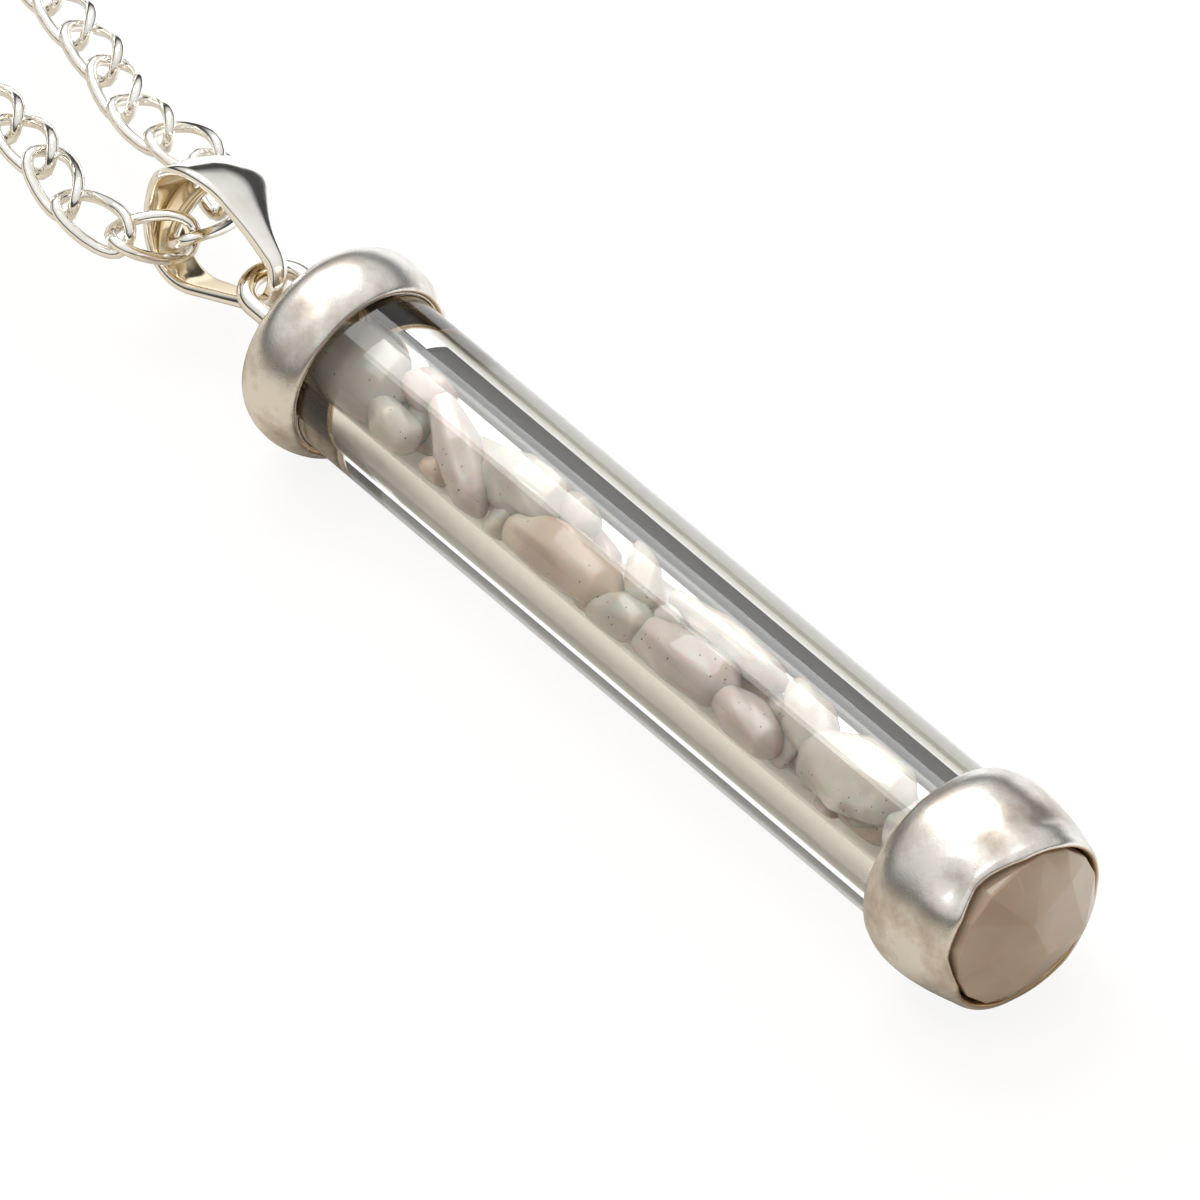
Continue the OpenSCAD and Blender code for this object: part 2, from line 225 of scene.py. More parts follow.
glow = node(tree, "ShaderNodeEmission", 0, 150, in_Color=WHITE, in_Strength=FLOOR_GLOW)
floor_paths = node(tree, "ShaderNodeLightPath", -200, 350)
share = node(tree, "ShaderNodeMath", 0, 300, operation="MULTIPLY")
share.inputs[1].default_value = FLOOR_GLOW_SHARE
floor_mix = node(tree, "ShaderNodeMixShader", 200, 0)
floor_out = node(tree, "ShaderNodeOutputMaterial", 400, 0)
join(tree, (floor_place, "Object", floor_x, 0), (floor_x, "X", painted_shade_span, "Value"),
     (painted_shade_span, "Result", floor_painted_shade, "Fac"), (floor_painted_shade, "Color", matte, "Color"),
     (floor_paths, "Is Camera Ray", share, 0), (share, 0, floor_mix, 0), (matte, 0, floor_mix, 1),
     (glow, 0, floor_mix, 2), (floor_mix, 0, floor_out, "Surface"))
floor.data.materials.append(floor_look)
print("floor: warm until x", round(PAINTED_SHADE_UNTIL / MM, 1), "mm, pale from", round(PALE_FROM / MM, 1), "mm")

# %% [markdown]
# Photographers set a dark card beside glass, to draw its edge. This one is a bent strip close to
# the tube. Only rays that come through the glass see it, so it leaves no mark on the silver and
# no shadow. Darkening the glass itself would grey the chips too.

# %% Dark card beside the glass
CARD_R, CARD_FROM, CARD_TO, CARD_STEPS = 4.35, math.radians(-38), math.radians(17), 12
CARD_ENDS = (1.5, 36.5)
CARD_TONE, CARD_GLOW = (0.01, 0.01, 0.01, 1), (0.1, 0.1, 0.1, 1)
card_points = [tuple(facing_view(CARD_R * math.cos(a), CARD_R * math.sin(a), w))
               for a in np.linspace(CARD_FROM, CARD_TO, CARD_STEPS) for w in CARD_ENDS]
card_faces = [(i, i + 1, i + 3, i + 2) for i in range(0, 2 * CARD_STEPS - 2, 2)]
card_mesh = bpy.data.meshes.new("dark_card")
card_mesh.from_pydata(card_points, [], card_faces)
card_look = bpy.data.materials.new("dark_card")
card_look.use_nodes = True
card_shader = card_look.node_tree.nodes["Principled BSDF"]
card_shader.inputs["Base Color"].default_value = CARD_TONE
card_shader.inputs["Emission Color"].default_value = CARD_GLOW
card_shader.inputs["Emission Strength"].default_value = 1.0
card_mesh.materials.append(card_look)
dark_card = in_scene("dark_card", card_mesh)
dark_card.visible_camera = dark_card.visible_shadow = False
dark_card.visible_diffuse = dark_card.visible_glossy = False
print("dark card:", len(card_faces), "faces beside the tube")

# %% [markdown]
# Every silver piece shows the same two things in its own strength: wear and tarnish. Both are
# worked out in one node group, which gives a colour, a roughness and a height for bump.
# Painting each piece by hand would give more freedom, but the marks would not belong together.

# %% Node group: worn silver
def group(name, inputs, outputs):
    """A shader node group with named inputs (name, kind, value) and outputs (name, kind)."""
    made = bpy.data.node_groups.new(name, "ShaderNodeTree")
    for label, kind, value in inputs:
        socket = made.interface.new_socket(label, in_out="INPUT", socket_type="NodeSocket" + kind)
        socket.default_value = value
    for label, kind in outputs:
        made.interface.new_socket(label, in_out="OUTPUT", socket_type="NodeSocket" + kind)
    return made, node(made, "NodeGroupInput", -1200, 0), node(made, "NodeGroupOutput", 600, 0)


worn_silver, worn_in, worn_out = group(
    "worn_silver",
    [("Metal", "Color", (0.9, 0.88, 0.84, 1)), ("Tarnish", "Color", (0.3, 0.2, 0.12, 1)),
     ("Tarnish Amount", "Float", 0.3), ("Patch Size", "Float", 500.0),
     ("Roughness", "Float", 0.25), ("Grain Size", "Float", 9000.0)],
    [("Color", "Color"), ("Roughness", "Float"), ("Height", "Float")])
ROUGHER_PATCHES = 0.22
where = node(worn_silver, "ShaderNodeTexCoord", -1200, 300)
patches = node(worn_silver, "ShaderNodeTexNoise", -900, 300, in_Detail=6.0, in_Roughness=0.62)
patch_edges = ramp(worn_silver, -700, 300, (0.42, (0, 0, 0)), (0.72, (1, 1, 1)))
amount = node(worn_silver, "ShaderNodeMath", -450, 300, operation="MULTIPLY")
colours = node(worn_silver, "ShaderNodeMix", 200, 300, data_type="RGBA")
grain = node(worn_silver, "ShaderNodeTexNoise", -900, 0, in_Detail=4.0, in_Roughness=0.7)
rough_patches = node(worn_silver, "ShaderNodeMath", -200, 0, operation="MULTIPLY_ADD")
rough_patches.inputs[1].default_value = ROUGHER_PATCHES
join(worn_silver, (where, "Object", patches, "Vector"), (worn_in, "Patch Size", patches, "Scale"),
     (patches, "Fac", patch_edges, "Fac"), (patch_edges, "Color", amount, 0),
     (worn_in, "Tarnish Amount", amount, 1), (amount, 0, colours, "Factor"),
     (worn_in, "Metal", colours, "A"), (worn_in, "Tarnish", colours, "B"),
     (colours, "Result", worn_out, "Color"), (where, "Object", grain, "Vector"),
     (worn_in, "Grain Size", grain, "Scale"), (patches, "Fac", rough_patches, 0),
     (worn_in, "Roughness", rough_patches, 2), (rough_patches, 0, worn_out, "Roughness"),
     (grain, "Fac", worn_out, "Height"))
print("worn_silver:", len(worn_silver.nodes), "nodes")

# %% [markdown]
# The insides of the cap and of the bail are darker and browner than their outsides: no cloth
# gets there to rub them bright. A point is inside where its surface faces the hollow's middle.
# A second material on chosen faces would do the same, with a hard edge between the two.

# %% A tint for hollows
HOLLOW_EDGE = 1.2 * MM


def tint_hollow(tree, marks, middle, along, tone):
    """A colour node: tone where the surface faces the middle, with along as the share of y."""
    surface = node(tree, "ShaderNodeNewGeometry", -1300, 500)
    outward = node(tree, "ShaderNodeVectorMath", -1100, 500, operation="SUBTRACT")
    outward.inputs[1].default_value = middle
    flat = node(tree, "ShaderNodeVectorMath", -900, 500, operation="MULTIPLY")
    flat.inputs[1].default_value = (1, along, 1)
    facing = node(tree, "ShaderNodeVectorMath", -700, 500, operation="DOT_PRODUCT")
    inside = node(tree, "ShaderNodeMapRange", -500, 500, in_From_Min=HOLLOW_EDGE, in_From_Max=-HOLLOW_EDGE)
    aged = node(tree, "ShaderNodeMix", -200, 400, data_type="RGBA")
    aged.inputs["B"].default_value = (*tone, 1)
    join(tree, (surface, "Position", outward, 0), (outward, 0, flat, 0), (flat, 0, facing, 0),
         (surface, "True Normal", facing, 1), (facing, "Value", inside, "Value"),
         (inside, "Result", aged, "Factor"), (marks, "Color", aged, "A"))
    return aged


print("a hollow's tint fades in over", 2 * HOLLOW_EDGE / MM, "mm")

# %% [markdown]
# There are three silvers. The raised caps are satin, with tarnish in patches. The ring, the
# chain and the bail are bright, as wire and strip come from the mill, and the bail has its own
# tint inside. One finish for all would make the caps look cast.

# %% Silver finishes
GRAIN_HEIGHT = 0.02 * MM


def silver(name, bump, hollow=None, **values):
    """A silver finish from the worn_silver group; hollow is (middle, share of y, colour) for insides."""
    made = bpy.data.materials.new(name)
    made.use_nodes = True
    tree = made.node_tree
    shader = tree.nodes["Principled BSDF"]
    shader.inputs["Metallic"].default_value = 1.0
    marks = node(tree, "ShaderNodeGroup", -600, 200, node_tree=worn_silver)
    for label, value in values.items():
        marks.inputs[label.replace("_", " ")].default_value = value
    relief = node(tree, "ShaderNodeBump", -300, -200, in_Strength=bump, in_Distance=GRAIN_HEIGHT)
    if hollow:
        aged = tint_hollow(tree, marks, *hollow)
        join(tree, (aged, "Result", shader, "Base Color"))
    else:
        join(tree, (marks, "Color", shader, "Base Color"))
    join(tree, (marks, "Roughness", shader, "Roughness"), (marks, "Height", relief, "Height"),
         (relief, 0, shader, "Normal"))
    print(name, "made, with a tinted hollow" if hollow else "made")
    return made


BRIGHT = {"Metal": (0.94, 0.915, 0.865, 1), "Tarnish": (0.6, 0.48, 0.33, 1), "Patch_Size": 600.0,
          "Roughness": 0.0, "Grain_Size": 6000.0}
CAP_HOLLOW = ((axis_x, 0, axis_z), 0, (0.50, 0.35, 0.20))
BAIL_HOLLOW = (tuple(on_pendant(0.25, 0.25, -11.3)), 1, (0.84, 0.70, 0.48))
satin_silver = silver("satin_silver", 0.35, CAP_HOLLOW, Metal=(0.80, 0.765, 0.715, 1),
                      Tarnish=(0.33, 0.24, 0.17, 1), Tarnish_Amount=0.75, Patch_Size=420.0,
                      Roughness=0.17, Grain_Size=9000.0)
bright_silver = silver("bright_silver", 0.05, Tarnish_Amount=0.25, **BRIGHT)
strap_silver = silver("strap_silver", 0.05, BAIL_HOLLOW, Tarnish_Amount=0.2, **BRIGHT)

# %% [markdown]
# The glass is a real wall: light bends at its outside and its inside, and near the tube's edges
# it is turned back inside the wall. That gives the pale and dark stripes along the tube without
# painting them. Shadows fall through it as through clear film, because rays that are bent on
# their way to a lamp would leave noise.

# %% Glass
SHADOW_TINT = (0.9, 0.92, 0.92, 1)
glass = bpy.data.materials.new("clear_glass")
glass.use_nodes = True
tree = glass.node_tree
glass_shader = tree.nodes["Principled BSDF"]
for label, value in {"Base Color": (0.985, 0.99, 0.985, 1), "Roughness": 0.0, "IOR": 1.47,
                     "Transmission Weight": 1.0}.items():
    glass_shader.inputs[label].default_value = value
glass_paths = node(tree, "ShaderNodeLightPath", -100, 400)
open_way = node(tree, "ShaderNodeBsdfTransparent", 100, -200, in_Color=SHADOW_TINT)
glass_mix = node(tree, "ShaderNodeMixShader", 400, 200)
join(tree, (glass_paths, "Is Shadow Ray", glass_mix, 0), (glass_shader, 0, glass_mix, 1),
     (open_way, 0, glass_mix, 2), (glass_mix, 0, tree.nodes["Material Output"], "Surface"))
print("clear_glass: bends light by", glass_shader.inputs["IOR"].default_value)

# %% [markdown]
# The chips and the set stone are cloudy: light goes in, spreads, and comes out softer, with
# pinkish and grey clouds and a few dark specks. One group makes clouds and specks for both.

# %% Node group: cloudy stone
cloudy_stone, cloudy_in, cloudy_out = group(
    "cloudy_stone",
    [("Light", "Color", (0.9, 0.86, 0.8, 1)), ("Deep", "Color", (0.6, 0.5, 0.45, 1)),
     ("Speck", "Color", (0.12, 0.08, 0.07, 1)), ("Cloud Size", "Float", 300.0),
     ("Speck Size", "Float", 2500.0), ("Speck Share", "Float", 0.1)],
    [("Color", "Color")])
place = node(cloudy_stone, "ShaderNodeTexCoord", -1200, 300)
clouds = node(cloudy_stone, "ShaderNodeTexNoise", -900, 300, in_Detail=3.0, in_Roughness=0.5)
cloud_edges = ramp(cloudy_stone, -700, 300, (0.35, (0, 0, 0)), (0.68, (1, 1, 1)))
body = node(cloudy_stone, "ShaderNodeMix", -300, 300, data_type="RGBA")
spots = node(cloudy_stone, "ShaderNodeTexVoronoi", -900, -100, in_Randomness=1.0)
nearness = node(cloudy_stone, "ShaderNodeMath", -700, -100, operation="LESS_THAN")
specked = node(cloudy_stone, "ShaderNodeMix", 100, 200, data_type="RGBA")
join(cloudy_stone, (place, "Object", clouds, "Vector"), (cloudy_in, "Cloud Size", clouds, "Scale"),
     (clouds, "Fac", cloud_edges, "Fac"), (cloud_edges, "Color", body, "Factor"),
     (cloudy_in, "Light", body, "A"), (cloudy_in, "Deep", body, "B"),
     (place, "Object", spots, "Vector"), (cloudy_in, "Speck Size", spots, "Scale"),
     (spots, "Distance", nearness, 0), (cloudy_in, "Speck Share", nearness, 1),
     (nearness, 0, specked, "Factor"), (body, "Result", specked, "A"),
     (cloudy_in, "Speck", specked, "B"), (specked, "Result", cloudy_out, "Color"))
print("cloudy_stone:", len(cloudy_stone.nodes), "nodes")

# %% [markdown]
# Three finishes share the chips, grey, pinkish and beige, which let light pass and spread it.
# The set stone lets none pass, and is browner. Random colours per chip would lose the photo's
# few tones.

# %% Stone finishes
STONE_IOR, MILK_REACH = 1.5, 0.8 * MM


def stone(name, roughness, clear, milk, **values):
    """A cloudy stone: clear is the share of light that passes, milk the share that spreads."""
    made = bpy.data.materials.new(name)
    made.use_nodes = True
    tree = made.node_tree
    shader = tree.nodes["Principled BSDF"]
    for label, value in {"Roughness": roughness, "IOR": STONE_IOR, "Transmission Weight": clear,
                         "Subsurface Weight": milk, "Subsurface Scale": MILK_REACH}.items():
        shader.inputs[label].default_value = value
    marks = node(tree, "ShaderNodeGroup", -500, 200, node_tree=cloudy_stone)
    for label, value in values.items():
        marks.inputs[label.replace("_", " ")].default_value = value
    join(tree, (marks, "Color", shader, "Base Color"))
    print(name, "passes", clear, "and spreads", milk)
    return made


chip_looks = [
    stone("chip_grey", 0.12, 0.55, 0.6, Light=(0.78, 0.73, 0.64, 1), Deep=(0.58, 0.51, 0.43, 1)),
    stone("chip_pink", 0.14, 0.5, 0.6, Light=(0.79, 0.69, 0.62, 1), Deep=(0.60, 0.50, 0.45, 1)),
    stone("chip_beige", 0.16, 0.45, 0.6, Light=(0.76, 0.63, 0.50, 1), Deep=(0.58, 0.45, 0.35, 1))]
taupe_stone = stone("taupe_stone", 0.12, 0.0, 0.6, Light=(0.55, 0.44, 0.34, 1),
                    Deep=(0.42, 0.31, 0.22, 1), Speck_Share=0.0, Cloud_Size=160.0)

# %% [markdown]
# Glass and metal are drawn the same way: rings of points, joined into a skin. A curve with a
# bevel would do for the wires, but a skin in code gives dents, ridges and lips one by one.

# %% Skins from rings of points
def point_outward(mesh):
    """Turns all faces of a closed mesh outwards."""
    work = bmesh.new()
    work.from_mesh(mesh)
    bmesh.ops.recalc_face_normals(work, faces=work.faces)
    work.to_mesh(mesh)
    work.free()


def finish_piece(name, mesh, look, slot, *stands_for):
    """A smooth piece of one finish that rides on the pendant and stands for CAD nodes."""
    mesh.materials.append(look)
    mesh.shade_smooth()
    made = in_scene(name, mesh)
    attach(made, "root")
    if stands_for:
        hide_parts(*stands_for)
    return made


def from_points(name, points, faces, look, slot, *stands_for):
    """The same, made from points and faces."""
    mesh = bpy.data.meshes.new(name)
    mesh.from_pydata(points, [], faces)
    mesh.validate()
    point_outward(mesh)
    print(name, "has", len(mesh.polygons), "faces")
    return finish_piece(name, mesh, look, slot, *stands_for)


def ring_faces(count, sides, first=0):
    """Faces round a closed row of rings, each with as many points, numbered from first."""
    faces = []
    for i in range(count):
        a, b = first + i * sides, first + (i + 1) % count * sides
        for j in range(sides):
            k = (j + 1) % sides
            faces.append((a + j, a + k, b + k, b + j))
    return faces


def skin(name, rings, look, slot, *stands_for):
    """A closed skin over a closed row of rings."""
    rings = np.asarray(rings)
    points = [tuple(p) for p in rings.reshape(-1, 3)]
    return from_points(name, points, ring_faces(*rings.shape[:2]), look, slot, *stands_for)


print("three rings of 8 points give", len(ring_faces(3, 8)), "faces")

# %% [markdown]
# The tube and both caps are turned on a lathe in the mind: a profile runs round the axis, and a
# rule may then push each point. A Screw modifier also turns a profile, but leaves no room for
# dents that differ from side to side.

# %% Turned pieces
def through(points, steps):
    """A smooth line through points, with steps between each two."""
    points = np.asarray(points, dtype=float)
    padded = np.vstack([2 * points[0] - points[1], points, 2 * points[-1] - points[-2]])
    line = []
    for a, b, c, d in zip(padded, padded[1:], padded[2:], padded[3:]):
        for s in np.arange(steps) / steps:
            line.append(0.5 * (2 * b + (c - a) * s + (2 * a - 5 * b + 4 * c - d) * s ** 2
                               + (3 * b - a - 3 * c + d) * s ** 3))
    return np.array(line + [points[-1]])


def turned(name, profile, shape, look, slot, stands_for, steps=128):
    """A piece turned about the axis from (radius, place) points, then reshaped by a rule."""
    angle = np.arange(steps) / steps * 2 * math.pi
    rings = []
    for radius, w in profile:
        r, place = shape(radius, w, angle)
        rings.append(facing_view(r * np.cos(angle), r * np.sin(angle), place))
    return skin(name, rings, look, slot, stands_for)


print("three points joined in 4 steps:", len(through([(0, 0), (1, 1), (2, 0)], 4)), "points")

# %% [markdown]
# The tube is cut from thick pipe, and its cut edges are ground a little. The wall has to be a
# real one with both its faces, or light would not bend twice. Its ends reach into both caps.

# %% Glass tube
TUBE_R, BORE_R, TUBE_END, ARRIS = 4.0, 2.1, 40.55, 0.12
TUBE_MIDDLE = np.linspace(0, 38, 3)
tube_profile = ([(TUBE_R - ARRIS, -GLASS_SEAT), (TUBE_R, ARRIS - GLASS_SEAT)]
                + [(TUBE_R, w) for w in TUBE_MIDDLE]
                + [(TUBE_R, TUBE_END - ARRIS), (TUBE_R - ARRIS, TUBE_END),
                   (BORE_R + ARRIS, TUBE_END), (BORE_R, TUBE_END - ARRIS)]
                + [(BORE_R, w) for w in TUBE_MIDDLE[::-1]]
                + [(BORE_R, ARRIS - GLASS_SEAT), (BORE_R + ARRIS, -GLASS_SEAT)])
tube = turned("tube_of_glass", tube_profile, lambda r, w, a: (r + 0 * a, w + 0 * a), glass, "glass",
              "glass_tube", steps=256)
tube.modifiers.new("keep_ends_crisp", "EDGE_SPLIT").split_angle = math.radians(30)

# %% [markdown]
# The caps are raised by hand from sheet, so no two sides are the same: the wall waves a little,
# and the bezel's lip is rubbed down over the stone in steps. The waves come from noise, and each
# dent is a row in a table. Sculpting would look as good, but could not be read or repeated.

# %% Hand-made unevenness
WAVE_SIZE, WAVE_ALONG = 1.6, 0.35
INSIDE_UNTIL, OUTSIDE_FROM = 4.1, 4.5


def unevenness(w, angle, seed, depth):
    """Soft waves round a piece and along it."""
    return depth * np.array([noise.noise(Vector((WAVE_SIZE * math.cos(a), WAVE_SIZE * math.sin(a) + seed,
                                                 WAVE_ALONG * w))) for a in angle])


def dents(w, angle, table):
    """Sum of soft dents, each with a place along, an angle, a depth and two half widths."""
    total = 0 * angle
    for at, degrees, depth, long, wide in table:
        off = (np.degrees(angle) - degrees + 180) % 360 - 180
        total = total + depth * np.exp(-((w - at) / long) ** 2 - (off / wide) ** 2)
    return total


def outer_share(radius):
    """0 on a cap's inside, 1 on its outside, and soft between the two."""
    return np.clip((radius - INSIDE_UNTIL) / (OUTSIDE_FROM - INSIDE_UNTIL), 0, 1)


print("three places round a wave of 0.1 mm:", unevenness(0, np.radians([0, 120, 240]), 3, 0.1).round(3))

# %% [markdown]
# The top cap is a round cup over the tube's end. Its mouth is rolled in towards the glass and
# leaves a narrow gap there, where a dark line shows. A plain cylinder would catch the light in
# straight bands.

# %% Top cap
top_profile = np.vstack([
    [(0.05, -2.6), (2, -2.6)],
    through([(4.05, -2.6), (4.05, -0.3), (4.14, -0.06), (4.3, 0.02), (4.48, -0.06), (4.66, -0.34),
             (4.84, -0.8), (4.96, -1.3), (5.0, -1.8), (4.95, -2.4), (4.74, -2.92), (4.34, -3.3),
             (3.6, -3.53), (2.4, -3.6), (1.2, -3.6), (0.05, -3.6)], 4)])
TOP_SEED, TOP_WAVES, TOP_SLIMMER = 3, 0.07, 0.02


def top_shape(radius, w, angle):
    """The top cap's radius and place at each angle: only its outside waves."""
    pushed = unevenness(w, angle, TOP_SEED, TOP_WAVES) - TOP_SLIMMER
    return radius + outer_share(radius) * pushed, w + 0 * angle


top_cap = turned("top_cap_raised", top_profile, top_shape, satin_silver, "cap_silver", "top_cap")

# %% [markdown]
# The ring on the top cap is a wire bent to a long loop and soldered on. Its middle line is two
# half circles and two straights, and the wire is a ring of points at each step along it.

# %% Hanging ring
def wire_loop(middle, wire, sides):
    """Rings of points round a closed line, each ring turned away from the line's middle."""
    middle = np.asarray(middle)
    along = np.roll(middle, -1, axis=0) - np.roll(middle, 1, axis=0)
    along /= np.linalg.norm(along, axis=1, keepdims=True)
    out = middle - middle.mean(axis=0)
    out -= (out * along).sum(axis=1, keepdims=True) * along
    out /= np.linalg.norm(out, axis=1, keepdims=True)
    side = np.cross(along, out)
    a = np.arange(sides) / sides * 2 * math.pi
    return middle[:, None] + wire / 2 * (np.cos(a)[None, :, None] * out[:, None]
                                         + np.sin(a)[None, :, None] * side[:, None])


RING_X, RING_ROOT, RING_FAR, RING_R, RING_WIRE, RING_SIDES = 0.25, -5.12, -6.37, 1.42, 0.9, 24
RING_BEND_STEPS, RING_SIDE_STEPS = 21, 8
half_turn = np.linspace(0, math.pi, RING_BEND_STEPS)
straight = np.linspace(0, 1, RING_SIDE_STEPS)[1:-1]
ring_line = np.vstack([
    np.stack([RING_R * np.cos(half_turn), RING_ROOT + RING_R * np.sin(half_turn)], axis=1),
    np.stack([-RING_R + 0 * straight, RING_ROOT + straight * (RING_FAR - RING_ROOT)], axis=1),
    np.stack([-RING_R * np.cos(half_turn), RING_FAR - RING_R * np.sin(half_turn)], axis=1),
    np.stack([RING_R + 0 * straight, RING_FAR - straight * (RING_FAR - RING_ROOT)], axis=1)])
ring_middle = on_pendant(RING_X + ring_line[:, 0], 0 * ring_line[:, 0], ring_line[:, 1])
hanging_ring = skin("hanging_ring", wire_loop(ring_middle, RING_WIRE * MM, RING_SIDES), bright_silver,
                    "cap_silver", "top_cap")

# %% [markdown]
# The stone cap is a longer cup whose far side is the bezel. Its lip goes up and down round the
# stone, as a tool pushed it over corner by corner, so its places are a table of angle and shift.

# %% Stone cap
lip_profile = np.vstack([
    [(0.05, 40.6), (2, 40.6)],
    through([(4.05, 40.6), (4.05, 38.3), (4.14, 38.06), (4.3, 38.0), (4.55, 38.05), (4.72, 38.35),
             (4.9, 38.8), (5.0, 39.4), (4.98, 40.4), (4.86, 41.4), (4.68, 42.2), (4.52, 42.8),
             (4.44, 43.1), (4.3, 43.3), (4.1, 43.3), (4.0, 43.1), (3.96, 42.6), (3.95, 41.3)], 4),
    [(2, 41.3), (0.05, 41.3)]])
LIP_PLACES = [(0, 0.1), (32, 0.2), (60, 0.05), (82, -0.45), (92, -0.55), (112, -0.2), (140, -0.25),
              (160, 0.35), (180, 0.1), (230, 0.0), (270, 0.15), (320, -0.1), (360, 0.1)]
CAP_DENTS = [(42.2, 100, -0.28, 0.8, 9), (41.9, 30, -0.16, 0.35, 14), (40.6, 150, -0.12, 1.2, 12),
             (42.6, 165, 0.1, 0.8, 14), (41.2, 196, -0.15, 1.5, 12), (40.0, 250, -0.1, 1.2, 20)]
BEZEL_FROM, BEZEL_HEIGHT, BEZEL_INSIDE = 40.6, 2.7, 3.9
BEZEL_SEED, BEZEL_WAVES, BEZEL_SLIMMER = 9, 0.1, 0.03


def stone_cap_shape(radius, w, angle):
    """The stone cap's radius and place at each angle: waves and dents outside, and the lip's line."""
    towards_lip = np.clip((w - BEZEL_FROM) / BEZEL_HEIGHT, 0, 1) ** 1.5 * (radius > BEZEL_INSIDE)
    lip = np.interp(np.degrees(angle), *zip(*LIP_PLACES))
    pushed = unevenness(w, angle, BEZEL_SEED, BEZEL_WAVES) - BEZEL_SLIMMER + dents(w, angle, CAP_DENTS)
    return radius + outer_share(radius) * pushed, w + towards_lip * lip


stone_cap = turned("stone_cap_raised", lip_profile, stone_cap_shape, satin_silver, "cap_silver", "stone_cap")

# %% [markdown]
# The set stone is a cushion with a few broad, softly polished facets. It starts as flat faces
# between named corners, and a bevel rounds the edges as tumbling does. A smooth dome would lose
# the facets, and a cut stone's sharp edges would look too new.

# %% Set stone
STONE_STEPS, STONE_R, STONE_FLATS, GIRDLE_ENDS = 16, 3.97, 0.02, (41.4, 43.45)
# Corners where the broad facets meet: across, towards the view, along the axis
STONE_CORNERS = [(0.2, 1.9, 44.85), (-0.3, -0.43, 44.9), (1.5, -2.3, 44.4), (-2.3, -1.4, 44.3),
                 (2.7, 0.9, 44.25), (-2.2, 1.9, 44.25)]
STONE_EDGE, SHARPER_THAN = 0.09 * MM, math.radians(6)
work = bmesh.new()
for a in np.arange(STONE_STEPS) / STONE_STEPS * 2 * math.pi:
    r = STONE_R * (1 - STONE_FLATS * (1 + math.cos(4 * a)) / 2)
    for w in GIRDLE_ENDS:
        work.verts.new(facing_view(r * math.cos(a), r * math.sin(a), w))
for corner in STONE_CORNERS:
    work.verts.new(facing_view(*corner))
bmesh.ops.convex_hull(work, input=work.verts)
stone_mesh = bpy.data.meshes.new("set_stone")
work.to_mesh(stone_mesh)
work.free()
print("set_stone has", len(stone_mesh.polygons), "faces")
set_stone = finish_piece("set_stone", stone_mesh, taupe_stone, "set_stone", "end_stone")
rounding = set_stone.modifiers.new("soft_edges", "BEVEL")
rounding.width, rounding.segments, rounding.limit_method = STONE_EDGE, 2, "ANGLE"
rounding.angle_limit = SHARPER_THAN
set_stone.modifiers.new("even_light", "WEIGHTED_NORMAL").keep_sharp = True

# %% [markdown]
# The bail is one strap of sheet, bent round and narrowed to a tip. Its outside has a soft ridge.
# It is drawn as a section that runs round two circles, so its width and ridge can change. A flat
# strip bent by a modifier would stretch where the strap is widest.

# %% Bail
BAIL_R, BAIL_WALL, BAIL_AT = 2.77, 0.6, -11.3
TIP_HOLE, TIP_GAP = 1.1, 0.49
TIP_R = TIP_HOLE + BAIL_WALL / 2
TIP_AT = RING_FAR - RING_R + RING_WIRE / 2 + TIP_GAP - TIP_HOLE
BAIL_LEAN, BAIL_TILT = math.radians(25), math.radians(3.6)
STRAP_WIDTHS = through([(0, 0.42), (0.09, 0.48), (0.16, 0.85), (0.24, 1.6), (0.32, 2.05), (0.42, 1.88),
                        (0.52, 1.25), (0.64, 1.15), (0.76, 1), (0.88, 0.6), (0.94, 0.45), (1, 0.42)], 6)
STRAP_SECTION = np.array([(-0.8, -0.5), (-0.94, -0.47), (-1, -0.36), (-1, 0.1), (-0.97, 0.24),
                          (-0.85, 0.33), (-0.55, 0.46), (-0.25, 0.57), (0, 0.61), (0.25, 0.57),
                          (0.55, 0.46), (0.85, 0.33), (0.97, 0.24), (1, 0.1), (1, -0.36),
                          (0.94, -0.47), (0.8, -0.5), (0.4, -0.5), (0, -0.5), (-0.4, -0.5)])
TIP_STEPS, ROUND_STEPS, LEG_STEPS = 12, 64, 12


def arc(at, r, start, end, steps):
    """Steps along an arc: place along the axis, place above it, angle."""
    a = np.linspace(start, end, steps)
    return np.stack([at + r * np.cos(a), r * np.sin(a), a], axis=1)


leg = math.pi / 2 - math.asin((BAIL_R - TIP_R) / (TIP_AT - BAIL_AT))
rise = arc(TIP_AT, TIP_R, 0, leg, TIP_STEPS)
round_end = arc(BAIL_AT, BAIL_R, leg, 2 * math.pi - leg, ROUND_STEPS)
fall = arc(TIP_AT, TIP_R, 2 * math.pi - leg, 2 * math.pi, TIP_STEPS)
between = np.linspace(0, 1, LEG_STEPS + 2)[1:-1, None]
stations = np.vstack([rise, rise[-1] + between * (round_end[0] - rise[-1]), round_end,
                      round_end[-1] + between * (fall[0] - round_end[-1]), fall[:-1]])
